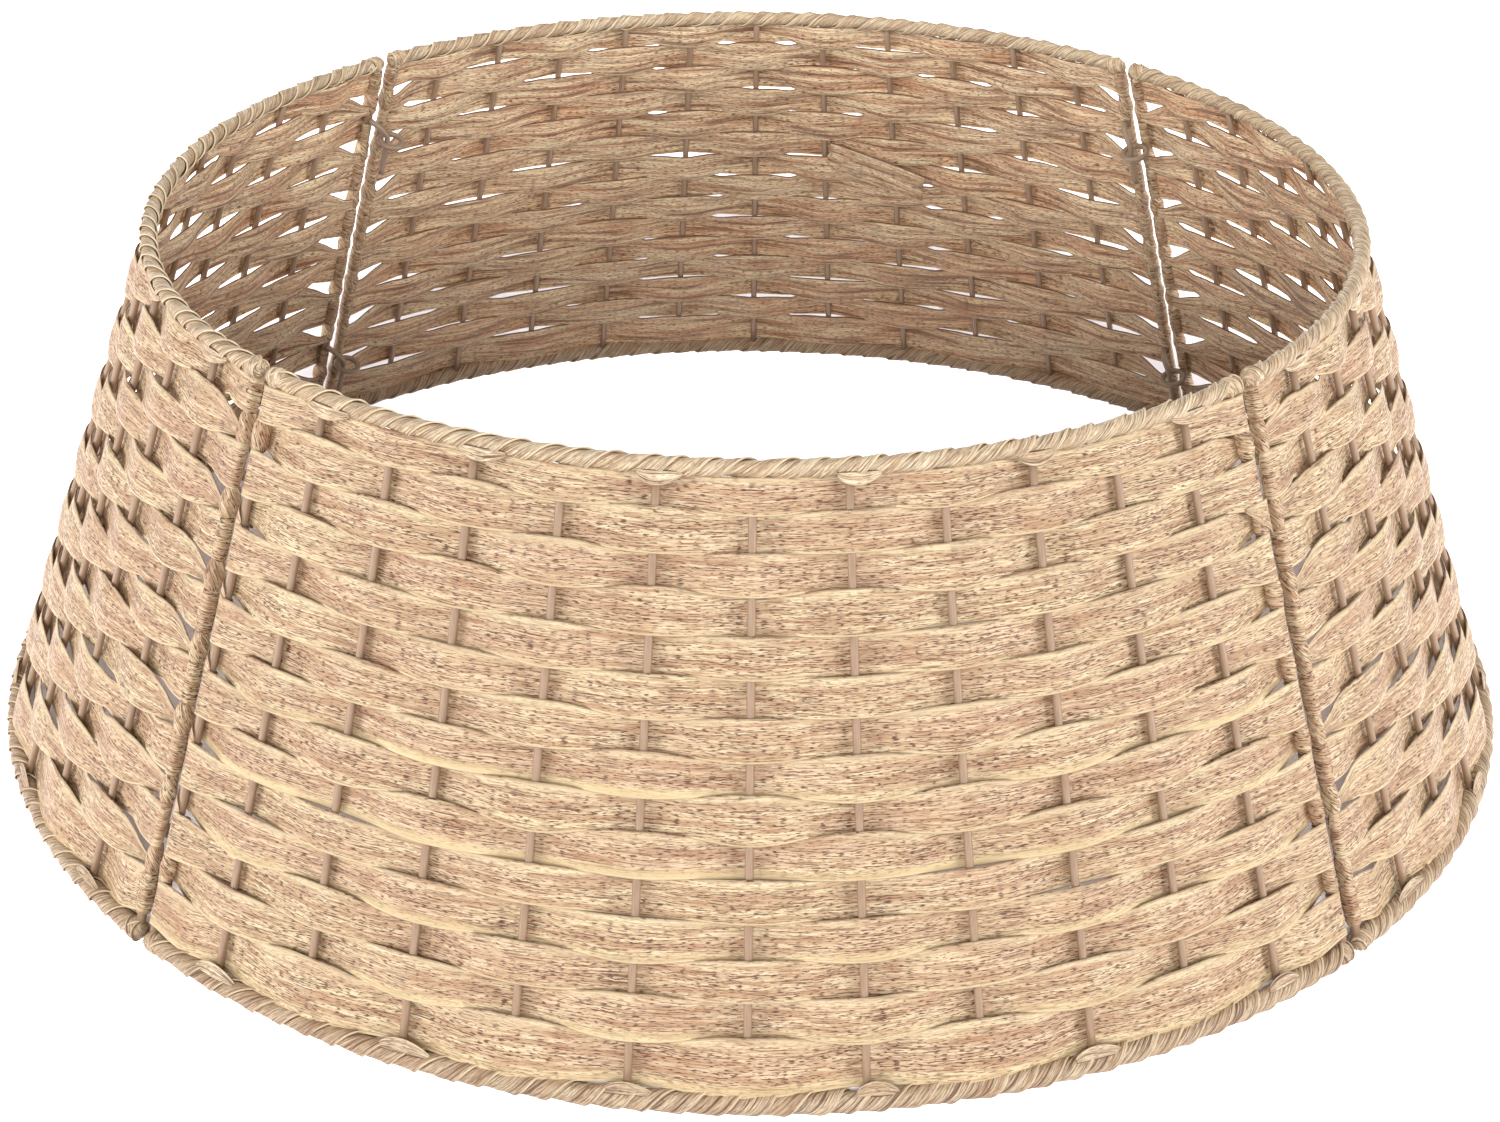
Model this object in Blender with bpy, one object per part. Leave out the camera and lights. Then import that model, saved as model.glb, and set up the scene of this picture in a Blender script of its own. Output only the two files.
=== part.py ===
"""Christmas tree collar: a low tapered ring of four woven panels, hinged at their corners.

Metres, +Z up. The origin is on the floor at the middle of the ring, and the front panel
faces -Y. A panel is a welded wire frame with flat strip woven through its uprights and
bound round its two rims. Eyes on one end of each panel take the pins of the next one.
Every piece is made once, for the panel that faces -Y, and turned about Z to its place.
"""

import math

import bmesh
import bpy
from mathutils import Matrix, Vector
from mathutils.geometry import interpolate_bezier

# Overall sizes, over the bound rims.
BOTTOM_DIAMETER = 0.711
TOP_DIAMETER = 0.5458
OVERALL_HEIGHT = 0.236

# Wires of the welded frame.
RAIL_DIAMETER = 0.004
STILE_DIAMETER = 0.004
UPRIGHT_DIAMETER = 0.003
UPRIGHTS = 11
SEAM_TO_STILE = 0.005

# Binding wound round the rails, its layers taken together.
TOP_BINDING_THICKNESS = 0.0019
BOTTOM_BINDING_THICKNESS = 0.0027

# Flat strip of the weave.
ROWS = 15
BAND_ROWS = {"upper": (1, 5), "middle": (6, 10), "lower": (11, 15)}
TOP_RAIL_TO_FIRST_ROW = 0.0085
LAST_ROW_TO_BOTTOM_RAIL = 0.0173
STRIP_WIDTH = 0.0195
STRIP_THICKNESS = 0.001
TURN_WIDTH = 0.013
SPLICE_GAP = 0.0006
TURN_START = 90
TURN_DEGREES = (45, 0, -45)

# Eyes and pins of the corner hinges.
EYE_ROWS = {"upper": 3, "lower": 13}
EYE_OUTER_DIAMETER = 0.015
EYE_WIRE_DIAMETER = 0.003
EYE_TO_STRIP = 0.002
EYE_MOUTH_DEGREES = 130
PIN_DIAMETER = 0.003
PIN_BELOW_EYE = 0.020
PIN_BEND_SHARE = 0.4

# Distance left between pieces that touch on the real collar.
GAP = 0.0003

# Each panel's middle, and the panel and corner that a moving one hangs on, in degrees.
PANEL_AZIMUTHS = {"front": 0, "right": 90, "back": 180, "left": 270}
HINGES = {"left": ("back", 225), "right": ("back", 135), "front": ("left", 315)}
FIXED_PANEL = "back"
OPEN_EYE_PANEL = "front"

STRAW = (0.62, 0.50, 0.34)
WIRE_BROWN = (0.42, 0.29, 0.19)

# Lines of the wall, worked out from the sizes above. A binding is six-sided, flat at its foot.
BINDING_SIDES = 6
FLAT_SHARE = math.cos(math.pi / BINDING_SIDES)
TOP_BINDING_DIAMETER = RAIL_DIAMETER + 2 * (GAP + TOP_BINDING_THICKNESS)
BOTTOM_BINDING_DIAMETER = RAIL_DIAMETER + 2 * (GAP + BOTTOM_BINDING_THICKNESS)
BOTTOM_RADIUS = (BOTTOM_DIAMETER - BOTTOM_BINDING_DIAMETER) / 2
TOP_RADIUS = (TOP_DIAMETER - TOP_BINDING_DIAMETER) / 2
BOTTOM_RAIL_HEIGHT = BOTTOM_BINDING_DIAMETER / 2 * FLAT_SHARE
TOP_RAIL_HEIGHT = OVERALL_HEIGHT - TOP_BINDING_DIAMETER / 2 * FLAT_SHARE
WALL_DROP = TOP_RAIL_HEIGHT - BOTTOM_RAIL_HEIGHT
LEAN = math.atan2(BOTTOM_RADIUS - TOP_RADIUS, WALL_DROP)
SLOPE_LENGTH = math.hypot(BOTTOM_RADIUS - TOP_RADIUS, WALL_DROP)
HALF_PANEL = math.pi / len(PANEL_AZIMUTHS)
UPRIGHT_PITCH = 2 * HALF_PANEL / (UPRIGHTS + 1)
STILE_PLACE = (UPRIGHTS + 1) // 2

# Lines of the weave.
ROW_SPAN = SLOPE_LENGTH - TOP_RAIL_TO_FIRST_ROW - LAST_ROW_TO_BOTTOM_RAIL
ROW_PITCH = ROW_SPAN / (ROWS - 1)
UPRIGHT_LIFT = UPRIGHT_DIAMETER / 2 + GAP + STRIP_THICKNESS / 2
CROSSING_SHARE = (STRIP_THICKNESS + GAP) / (2 * UPRIGHT_LIFT)
CROSSING_WIDTH = (ROW_PITCH - GAP - CROSSING_SHARE * STRIP_WIDTH) / (1 - CROSSING_SHARE)
TURN_STEP = math.radians(TURN_DEGREES[0] - TURN_DEGREES[1])
TURN_RADIUS = (STILE_DIAMETER / 2 + GAP) / math.cos(TURN_STEP / 2) + STRIP_THICKNESS / 2
STRIP_TOP_LIMIT = TOP_BINDING_DIAMETER / 2 + GAP

# Lines of the hinges: an eye is welded to its stile, and the pin hangs against its far side.
EYE_RADIUS = (EYE_OUTER_DIAMETER - EYE_WIRE_DIAMETER) / 2
EYE_DEPTH = STILE_DIAMETER / 2 + GAP + EYE_OUTER_DIAMETER / 2
EYE_BELOW_ROW = ROW_PITCH - TURN_WIDTH / 2 - EYE_TO_STRIP - EYE_WIRE_DIAMETER / 2
PIN_OFF_CENTRE = EYE_RADIUS - EYE_WIRE_DIAMETER / 2 - PIN_DIAMETER / 2 - GAP
SEAM_TO_PIN = SEAM_TO_STILE - PIN_OFF_CENTRE


def clear_scene():
    for obj in list(bpy.data.objects):
        bpy.data.objects.remove(obj, do_unlink=True)


def make_material(name, colour, roughness, metallic):
    material = bpy.data.materials.new(name)
    material.use_nodes = True
    shader = material.node_tree.nodes["Principled BSDF"]
    shader.inputs["Base Color"].default_value = (*colour, 1)
    shader.inputs["Roughness"].default_value = roughness
    shader.inputs["Metallic"].default_value = metallic
    return material


def outward(azimuth):
    """Level direction from the middle of the ring towards this azimuth."""
    return Vector((math.sin(azimuth), -math.cos(azimuth), 0))


def sideways(azimuth):
    """Level direction in which the azimuth grows."""
    return Vector((math.cos(azimuth), math.sin(azimuth), 0))


def wall_normal(azimuth):
    return outward(azimuth) * math.cos(LEAN) + Vector((0, 0, math.sin(LEAN)))


def down_slope(azimuth):
    return outward(azimuth) * math.sin(LEAN) - Vector((0, 0, math.cos(LEAN)))


def wall_radius(along):
    return TOP_RADIUS + along * math.sin(LEAN)


def wall_point(along, azimuth, lift=0):
    """The point this far down the slope from the top rail, lifted outwards off the wall."""
    level = outward(azimuth) * wall_radius(along)
    height = Vector((0, 0, TOP_RAIL_HEIGHT - along * math.cos(LEAN)))
    return level + height + wall_normal(azimuth) * lift


def seam_point(along, aside, lift=0, end=1):
    """The same at a panel's end, this far aside of the corner between two panels."""
    corner = end * HALF_PANEL
    radius = wall_radius(along)
    level = outward(corner) * math.sqrt(radius**2 - aside**2) + sideways(corner) * aside
    height = Vector((0, 0, TOP_RAIL_HEIGHT - along * math.cos(LEAN)))
    return level + height + wall_normal(corner) * lift


def stile_point(along, end, lift=0):
    return seam_point(along, -end * SEAM_TO_STILE, lift, end)


def stile_azimuth(along):
    return HALF_PANEL - math.asin(SEAM_TO_STILE / wall_radius(along))


def rail_azimuths(along, end_clearance=0):
    """Azimuths of a rail's corners: one at each upright, and the two ends."""
    reach = stile_azimuth(along) - end_clearance / wall_radius(along)
    inner = [place * UPRIGHT_PITCH for place in range(1 - STILE_PLACE, STILE_PLACE)]
    return [-reach, *inner, reach]


def mesh_object(name, mesh, material, collection):
    obj = bpy.data.objects.new(name, mesh)
    mesh.materials.clear()
    mesh.materials.append(material)
    collection.objects.link(obj)
    return obj


def mesh_from_bmesh(name, shape):
    bmesh.ops.recalc_face_normals(shape, faces=shape.faces)
    mesh = bpy.data.meshes.new(name)
    shape.to_mesh(mesh)
    shape.free()
    return mesh


def loft(name, sections):
    """A closed body through sections that have as many points each."""
    shape = bmesh.new()
    rings = [[shape.verts.new(point) for point in section] for section in sections]
    count = len(rings[0])
    for ring, following in zip(rings, rings[1:]):
        for index in range(count):
            after = (index + 1) % count
            shape.faces.new((ring[index], ring[after], following[after], following[index]))
    shape.faces.new(rings[0])
    shape.faces.new(rings[-1])
    return mesh_from_bmesh(name, shape)


def wire_mesh(name, points, diameter):
    """A round wire through these points, as a welded mesh."""
    curve = bpy.data.curves.new(name, "CURVE")
    curve.dimensions = "3D"
    curve.bevel_depth = diameter / 2
    curve.bevel_resolution = 1
    curve.use_fill_caps = True
    spline = curve.splines.new("POLY")
    spline.points.add(len(points) - 1)
    for target, point in zip(spline.points, points):
        target.co = (*point, 1)
    guide = bpy.data.objects.new(name, curve)
    bpy.context.scene.collection.objects.link(guide)
    bpy.context.view_layer.update()
    graph = bpy.context.evaluated_depsgraph_get()
    mesh = bpy.data.meshes.new_from_object(guide.evaluated_get(graph))
    bpy.data.objects.remove(guide, do_unlink=True)
    bpy.data.curves.remove(curve)
    shape = bmesh.new()
    shape.from_mesh(mesh)
    bpy.data.meshes.remove(mesh)
    bmesh.ops.remove_doubles(shape, verts=shape.verts, dist=diameter / 1000)
    return mesh_from_bmesh(name, shape)


def rail_mesh(name, along):
    points = [wall_point(along, azimuth) for azimuth in rail_azimuths(along)]
    return wire_mesh(name, points, RAIL_DIAMETER)


def wire_frame_mesh(cutters):
    """Two rails, two stiles and the uprights, united as the welds unite them."""
    meshes = [rail_mesh("bottom_rail", SLOPE_LENGTH)]
    for end in (-1, 1):
        ends = [stile_point(0, end), stile_point(SLOPE_LENGTH, end)]
        meshes.append(wire_mesh("stile", ends, STILE_DIAMETER))
    for azimuth in rail_azimuths(0)[1:-1]:
        ends = [wall_point(0, azimuth), wall_point(SLOPE_LENGTH, azimuth)]
        meshes.append(wire_mesh("upright", ends, UPRIGHT_DIAMETER))
    wires = [bpy.data.objects.new(mesh.name, mesh) for mesh in meshes]
    for wire in wires:
        cutters.objects.link(wire)
    frame = bpy.data.objects.new("frame_guide", rail_mesh("top_rail", 0))
    bpy.context.scene.collection.objects.link(frame)
    union = frame.modifiers.new("welds", "BOOLEAN")
    union.operation = "UNION"
    union.operand_type = "COLLECTION"
    union.collection = cutters
    union.solver = "EXACT"
    bpy.context.view_layer.update()
    graph = bpy.context.evaluated_depsgraph_get()
    mesh = bpy.data.meshes.new_from_object(frame.evaluated_get(graph))
    mesh.name = "wire_frame"
    for obj in [frame, *wires]:
        bpy.data.objects.remove(obj, do_unlink=True)
    return mesh


def binding_section(along, azimuth, diameter, up):
    """The strip round a rail, cut across: a C that is open towards the uprights.

    Angles run from level outwards, and up is 1 on the top rim and -1 on the bottom one.
    """
    inner = RAIL_DIAMETER / 2 + GAP
    half_mouth = math.asin((UPRIGHT_DIAMETER / 2 + GAP) / inner)
    start = LEAN - up * math.pi / 2 + half_mouth
    sweep = 2 * (math.pi - half_mouth)
    side = 2 * math.pi / BINDING_SIDES
    corners = [up * math.pi / 2 + (step + 0.5) * side - start for step in range(BINDING_SIDES)]
    outer_angles = sorted(corner % (2 * math.pi) for corner in corners)
    outer_angles = [0, *(angle for angle in outer_angles if angle < sweep), sweep]
    lining_sides = BINDING_SIDES // 2
    inner_angles = [sweep * (1 - step / lining_sides) for step in range(lining_sides + 1)]
    lining = inner / math.cos(sweep / lining_sides / 2)
    centre = wall_point(along, azimuth)
    across = outward(azimuth)
    points = []
    for radius, angles in ((diameter / 2, outer_angles), (lining, inner_angles)):
        for angle in angles:
            way = start + angle
            rise = Vector((0, 0, math.sin(way)))
            points.append(centre + (across * math.cos(way) + rise) * radius)
    return points


def binding_mesh(name, along, diameter, up):
    azimuths = rail_azimuths(along, STILE_DIAMETER / 2 + GAP)
    return loft(name, [binding_section(along, azimuth, diameter, up) for azimuth in azimuths])


def row_along(row):
    return TOP_RAIL_TO_FIRST_ROW + (row - 1) * ROW_PITCH


def strip_section(centre, crest, down, along, width):
    """Flat on the side that lies on the stile, with a low crest on the other."""
    above = min(width / 2, along - STRIP_TOP_LIMIT)
    half_thickness = crest * (STRIP_THICKNESS / 2)
    upper_edge = centre - down * above - half_thickness
    lower_edge = centre + down * (width / 2) - half_thickness
    return [upper_edge, lower_edge, centre + half_thickness]


def wall_section(row, azimuth, lift, width):
    """The strip cut across on the wall. Odd rows have their crest outside, even ones inside."""
    along = row_along(row)
    facing = 1 if row % 2 else -1
    centre = wall_point(along, azimuth, lift)
    crest = wall_normal(azimuth) * facing
    return strip_section(centre, crest, down_slope(azimuth), along, width)


def stile_section(row, end):
    """The strip cut across where it reaches a stile: odd rows outside it, even ones inside."""
    along = row_along(row)
    facing = 1 if row % 2 else -1
    corner = end * HALF_PANEL
    centre = stile_point(along, end, facing * TURN_RADIUS)
    crest = wall_normal(corner) * facing
    return strip_section(centre, crest, down_slope(corner), along, TURN_WIDTH)


def row_sections(row):
    """One row from stile to stile, in front of and behind the uprights in turn."""
    azimuths = rail_azimuths(row_along(row))
    sections = [stile_section(row, -1)]
    for place, azimuth in enumerate(azimuths[1:-1], 1 - STILE_PLACE):
        side = 1 if (row + place) % 2 else -1
        middle = (azimuths[place + STILE_PLACE - 1] + azimuth) / 2
        sections.append(wall_section(row, middle, 0, CROSSING_WIDTH))
        sections.append(wall_section(row, azimuth, side * UPRIGHT_LIFT, STRIP_WIDTH))
    sections.append(wall_section(row, (azimuths[-2] + azimuths[-1]) / 2, 0, CROSSING_WIDTH))
    sections.append(stile_section(row, 1))
    return sections if row % 2 else sections[::-1]


def turn_sections(row):
    """Round the stile from the end of this row to the start of the next one."""
    end = 1 if row % 2 else -1
    corner = end * HALF_PANEL
    normal = wall_normal(corner)
    down = down_slope(corner)
    sections = []
    for degrees in TURN_DEGREES:
        share = (TURN_START - degrees) / (2 * TURN_START)
        along = row_along(row) + ROW_PITCH * share**2 * (3 - 2 * share)
        angle = math.radians(degrees) * end
        crest = sideways(corner) * end * math.cos(angle) + normal * math.sin(angle)
        centre = stile_point(along, end) + crest * TURN_RADIUS
        sections.append(strip_section(centre, crest, down, along, TURN_WIDTH))
    return sections


def weave_mesh(name, first_row, last_row):
    """A band of rows as one length of strip, which turns back round each stile."""
    sections = []
    for row in range(first_row, last_row + 1):
        sections += row_sections(row)
        if row < ROWS:
            sections += turn_sections(row)
    if last_row < ROWS:
        sections.append(row_sections(last_row + 1)[0])
    if first_row > 1:
        run = (sections[1][0] - sections[0][0]).length
        share = SPLICE_GAP / run
        sections[0] = [a.lerp(b, share) for a, b in zip(sections[0], sections[1])]
    return loft(name, sections)


def eye_along(row):
    return row_along(row) + EYE_BELOW_ROW


def eye_matrix(row):
    """From an eye lying level at the origin to its place inside the right stile."""
    axes = (sideways(HALF_PANEL), -wall_normal(HALF_PANEL), -down_slope(HALF_PANEL))
    centre = stile_point(eye_along(row), 1, -EYE_DEPTH)
    return Matrix.Translation(centre) @ Matrix(axes).transposed().to_4x4()


def closed_eye_mesh(name, row):
    """A wire ring."""
    bpy.ops.mesh.primitive_torus_add(
        major_radius=EYE_RADIUS,
        minor_radius=EYE_WIRE_DIAMETER / 2,
        major_segments=12,
        minor_segments=6,
    )
    ring = bpy.context.object
    mesh = ring.data
    mesh.name = name
    mesh.transform(eye_matrix(row))
    bpy.data.objects.remove(ring, do_unlink=True)
    return mesh


def open_eye_mesh(name, row):
    """A wire hook of the same size, with its mouth towards the corner."""
    mouth = math.radians(EYE_MOUTH_DEGREES)
    steps = 7
    points = []
    for step in range(steps + 1):
        angle = mouth / 2 + (2 * math.pi - mouth) * step / steps
        level = Vector((math.cos(angle), math.sin(angle), 0)) * EYE_RADIUS
        points.append(eye_matrix(row) @ level)
    return wire_mesh(name, points, EYE_WIRE_DIAMETER)


def pin_mesh(name, row):
    """A wire that leaves the left stile, bends into the eye's axis and hangs down through it."""
    along = eye_along(row)
    rise = 2 * EYE_BELOW_ROW
    normal = wall_normal(-HALF_PANEL)
    down = down_slope(-HALF_PANEL)
    root = stile_point(along - rise, -1, -STILE_DIAMETER / 2 - GAP)
    centre = seam_point(along, -SEAM_TO_PIN, -EYE_DEPTH, -1)
    top = centre - down * EYE_WIRE_DIAMETER / 2
    reach = rise * PIN_BEND_SHARE
    bend = interpolate_bezier(root, root - normal * reach, top - down * reach, top, 6)
    return wire_mesh(name, [*bend, centre + down * PIN_BELOW_EYE], PIN_DIAMETER)


def hinge_axis(corner_azimuth):
    """Foot and upward direction of the line of the pins at this corner."""
    foot = seam_point(SLOPE_LENGTH, -SEAM_TO_PIN, -EYE_DEPTH)
    turn = Matrix.Rotation(corner_azimuth - HALF_PANEL, 3, "Z")
    return turn @ foot, turn @ -down_slope(HALF_PANEL)


def carry(obj, rest, carrier, carrier_rest):
    """Parents an object to its carrier, with its own place in the world kept."""
    obj.parent = carrier
    obj.matrix_parent_inverse = carrier_rest.inverted()
    obj.matrix_basis = rest


def panel_bodies(collection):
    """One empty for each panel, on the line of its hinge, and its matrix at rest."""
    bodies = {}
    for panel in (FIXED_PANEL, *HINGES):
        body = bpy.data.objects.new(f"{panel}_panel", None)
        body.empty_display_size = EYE_OUTER_DIAMETER
        collection.objects.link(body)
        rest = Matrix.Identity(4)
        if panel in HINGES:
            carrier, corner = HINGES[panel]
            foot, up = hinge_axis(math.radians(corner))
            print(f"{panel}_panel turns about a line from", foot[:], "along", up[:])
            turn = up.to_track_quat("Z", "Y").to_matrix().to_4x4()
            rest = Matrix.Translation(foot) @ turn
            carry(body, rest, *bodies[carrier])
        bodies[panel] = (body, rest)
    return bodies


def build():
    clear_scene()
    collar = bpy.data.collections.new("christmas_tree_collar")
    cutters = bpy.data.collections.new("cutters")
    for collection in (collar, cutters):
        bpy.context.scene.collection.children.link(collection)
    strip = make_material("strip", STRAW, 0.6, 0)
    wire = make_material("wire", WIRE_BROWN, 0.45, 0)

    top = binding_mesh("top_rim_binding", 0, TOP_BINDING_DIAMETER, 1)
    bottom = binding_mesh("bottom_rim_binding", SLOPE_LENGTH, BOTTOM_BINDING_DIAMETER, -1)
    pieces = {
        "wire_frame": (wire_frame_mesh(cutters), wire),
        "top_rim_binding": (top, strip),
        "bottom_rim_binding": (bottom, strip),
    }
    for band, rows in BAND_ROWS.items():
        pieces[f"{band}_weave"] = (weave_mesh(f"{band}_weave", *rows), strip)
    open_eyes = {}
    for level, row in EYE_ROWS.items():
        pieces[f"{level}_eye"] = (closed_eye_mesh(f"{level}_eye", row), wire)
        pieces[f"{level}_pin"] = (pin_mesh(f"{level}_pin", row), wire)
        open_eyes[f"{level}_eye"] = (open_eye_mesh(f"{level}_open_eye", row), wire)

    bodies = panel_bodies(collar)
    for panel, degrees in PANEL_AZIMUTHS.items():
        place = Matrix.Rotation(math.radians(degrees), 4, "Z")
        made = {**pieces, **open_eyes} if panel == OPEN_EYE_PANEL else pieces
        for piece, (mesh, material) in made.items():
            obj = mesh_object(f"{panel}_{piece}", mesh, material, collar)
            carry(obj, place, *bodies[panel])


build()
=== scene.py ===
"""Looks of the christmas tree collar: woven strips, wound rims, wires and hinge rings.

Metres, +Z up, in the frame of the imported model. The ring stands on the floor round the
origin and the front panel faces -Y. Every panel is made facing -Y, with its own random
seed, and turned about Z to its place.
"""

import math

import bpy
import numpy as np
from mathutils import Matrix, Vector


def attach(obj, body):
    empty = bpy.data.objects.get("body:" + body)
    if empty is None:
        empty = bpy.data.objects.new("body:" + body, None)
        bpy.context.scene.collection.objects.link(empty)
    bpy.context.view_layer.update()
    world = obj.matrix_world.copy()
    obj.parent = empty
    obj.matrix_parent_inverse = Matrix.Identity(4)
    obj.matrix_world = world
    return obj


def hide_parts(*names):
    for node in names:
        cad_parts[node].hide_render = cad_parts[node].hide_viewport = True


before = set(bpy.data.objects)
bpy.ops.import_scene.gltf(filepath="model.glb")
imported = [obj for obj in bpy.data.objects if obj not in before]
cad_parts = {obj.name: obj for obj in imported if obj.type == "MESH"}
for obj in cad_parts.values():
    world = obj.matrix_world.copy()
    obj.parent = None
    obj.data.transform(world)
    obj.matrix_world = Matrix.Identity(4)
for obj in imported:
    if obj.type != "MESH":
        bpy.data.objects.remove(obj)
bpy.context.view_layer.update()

# Overall sizes, over the bound rims.
BOTTOM_DIAMETER = 0.711
TOP_DIAMETER = 0.5458
OVERALL_HEIGHT = 0.236

# Wires.
STILE_DIAMETER = 0.004
RAIL_DIAMETER = 0.004
UPRIGHT_DIAMETER = 0.0032
UPRIGHTS = 11
SEAM_TO_STILE = 0.005
GAP = 0.0003

# Rims.
TOP_WINDING_DIAMETER = 0.0084
BOTTOM_WINDING_DIAMETER = 0.010
BINDING_SIDES = 6
WINDING_PITCHES = {"top": 0.025, "bottom": 0.026}
WINDING_STARTS = {"top": 2, "bottom": 2}
WINDING_LAP = 1.35
NUB_ENDS = {"left": 1}
WINDING_RISE = 0.0012
WINDING_STEPS = 24
WINDING_STRAY = 0.0022
WINDING_WIDTH_WANDER = 0.0016
LEAST_WINDING_WIDTH = 0.001

# The turns that hang away from a rim at the uprights, and the ends of the rims' windings.
SWAG_HALF_SPAN = 0.0095
SWAG_SPAN_CHANGE = (-0.0015, 0.0020)
SWAG_DROP = 0.0026
SWAG_DROP_CHANGE = (-0.0006, 0.0004)
SWAG_STRAY = (-0.001, 0.003)
SWAG_TUCK = 0.0012
SWAG_TILT = 0.0006
SWAG_LIP = 0.0006
SWAG_LIFT_SHARE = 0.62
SWAG_STEPS = (25, 7)
KNOT_RADII = {1: 0.0042, -1: 0.0048}
KNOT_REACH = 0.0032
KNOT_LENGTH = 0.0115
KNOT_SLANT = math.radians(68)
NUB_RADIUS = 0.0036
NUB_LENGTH = 0.0135
NUB_SUNK = 0.0075
NUB_TAPER = 0.55
NUB_SLANT = math.radians(35)

# Rows of the weave.
ROWS = 15
BAND_ROWS = {"upper": (1, 5), "middle": (6, 10), "lower": (11, 15)}
TOP_RAIL_TO_FIRST_ROW = 0.0085
LAST_ROW_TO_BOTTOM_RAIL = 0.0173
STRIP_WIDTH = 0.0198
STRIP_THICKNESS = 0.00035
LIP_THICKNESS = 0.0007
LIP_SHARPNESS = 28

# Hinges.
EYE_ROWS = {"upper": 3, "lower": 13}
EYE_OUTER_DIAMETER = 0.015
EYE_WIRE_DIAMETER = 0.003
EYE_TO_STRIP = 0.002
EYE_MOUTH = math.radians(130)
RING_TURN = (-math.pi / 2, 1.5 * math.pi, 49)
HOOK_TURN = (EYE_MOUTH / 2, 2 * math.pi - EYE_MOUTH / 2, 37)
TURN_WIDTH = 0.013
PIN_DIAMETER = 0.003
PIN_BELOW_EYE = 0.020
PIN_BEND_SHARE = 0.4
PIN_TAIL_FROM = 0.12

# How finely the wires are drawn.
RAIL_SIDES = 12
WIRE_SIDES = 14
RAIL_STEPS = 73
WALL_STEPS = 13
BEND_STEPS = 15
TAIL_STEPS = 8

PANEL_AZIMUTHS = {"front": 0, "right": 90, "back": 180, "left": 270}
OPEN_EYE_PANEL = "front"
FIRST_SEED = 11


def by_panel(*values):
    return dict(zip(PANEL_AZIMUTHS, values))


# Lines of the wall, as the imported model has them.
FLAT_SHARE = math.cos(math.pi / BINDING_SIDES)
BOTTOM_RADIUS = (BOTTOM_DIAMETER - BOTTOM_WINDING_DIAMETER) / 2
TOP_RADIUS = (TOP_DIAMETER - TOP_WINDING_DIAMETER) / 2
BOTTOM_RAIL_HEIGHT = BOTTOM_WINDING_DIAMETER / 2 * FLAT_SHARE
TOP_RAIL_HEIGHT = OVERALL_HEIGHT - TOP_WINDING_DIAMETER / 2 * FLAT_SHARE
WALL_DROP = TOP_RAIL_HEIGHT - BOTTOM_RAIL_HEIGHT
LEAN = math.atan2(BOTTOM_RADIUS - TOP_RADIUS, WALL_DROP)
SLOPE_LENGTH = math.hypot(BOTTOM_RADIUS - TOP_RADIUS, WALL_DROP)
HALF_PANEL = math.pi / len(PANEL_AZIMUTHS)
UPRIGHT_PITCH = 2 * HALF_PANEL / (UPRIGHTS + 1)
STILE_PLACE = (UPRIGHTS + 1) // 2
ROW_SPAN = SLOPE_LENGTH - TOP_RAIL_TO_FIRST_ROW - LAST_ROW_TO_BOTTOM_RAIL
ROW_PITCH = ROW_SPAN / (ROWS - 1)
UPRIGHT_LIFT = UPRIGHT_DIAMETER / 2 + GAP + STRIP_THICKNESS / 2
TURN_RADIUS = STILE_DIAMETER / 2 + GAP + STRIP_THICKNESS

# Lines of the hinges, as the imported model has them.
EYE_RADIUS = (EYE_OUTER_DIAMETER - EYE_WIRE_DIAMETER) / 2
EYE_DEPTH = STILE_DIAMETER / 2 + GAP + EYE_OUTER_DIAMETER / 2
EYE_BELOW_ROW = ROW_PITCH - TURN_WIDTH / 2 - EYE_TO_STRIP - EYE_WIRE_DIAMETER / 2
PIN_OFF_CENTRE = EYE_RADIUS - EYE_WIRE_DIAMETER / 2 - PIN_DIAMETER / 2 - GAP
SEAM_TO_PIN = SEAM_TO_STILE - PIN_OFF_CENTRE

# How far a panel folds outward, and the room that its strips leave for it at the corners.
FOLD = math.radians(15)
FOLD_ROOM = 0.0003
ROOM_FROM = 0.0034
LEAST_ROOM = 0.0004

# How the strip lies, for front, right, back and left. Slits between rows are this wide,
# least and most, lenses this deep, and strips this slack where they pass the uprights.
SLITS = by_panel((0.0003, 0.0007), (0.0002, 0.0036), (0.0002, 0.0044), (0.0002, 0.0036))
MIDDLE_SLITS = by_panel(1.0, 0.8, 0.75, 0.8)
LENS_BULGES = by_panel((0.0003, 0.0020), (0.0009, 0.0027), (0.0009, 0.0027), (0.0009, 0.0027))
SLACKS = by_panel(0.0, 0.0003, 0.0, 0.0003)
EDGE_WANDER = 0.0007
LENS_VARIATION = 0.0007
FIRST_EDGE_TUCK = 0.0008
FIRST_EDGE = TOP_WINDING_DIAMETER / 2 - FIRST_EDGE_TUCK
LAST_EDGE_DROP = 0.0060
LAST_EDGE_HANG = 0.0012
CROWN = 0.0009
ODD_END_HALF_WIDTH = 0.0096
EVEN_END_HALF_WIDTHS = by_panel(0.0050, 0.0050, 0.0066, 0.0050)
NARROWS_FROM = by_panel(0.55, 0.30, 0.30, 0.30)
ODD_NARROWS_FROM = 0.45
SLIT_POWER = 2.2
OVER_RAMP = (-0.1, 0.95)
UNDER_POWER = 0.9
RIPPLE = 0.0002
STILE_FROM = 0.4
STRAIGHT_GRAIN = 0.6
STRAIGHT_MARGINS = (0.1, 0.2)
STRONG_YELLOWS = (0.5, 0.85)
WEAK_YELLOWS = (0.0, 0.15)

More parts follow.
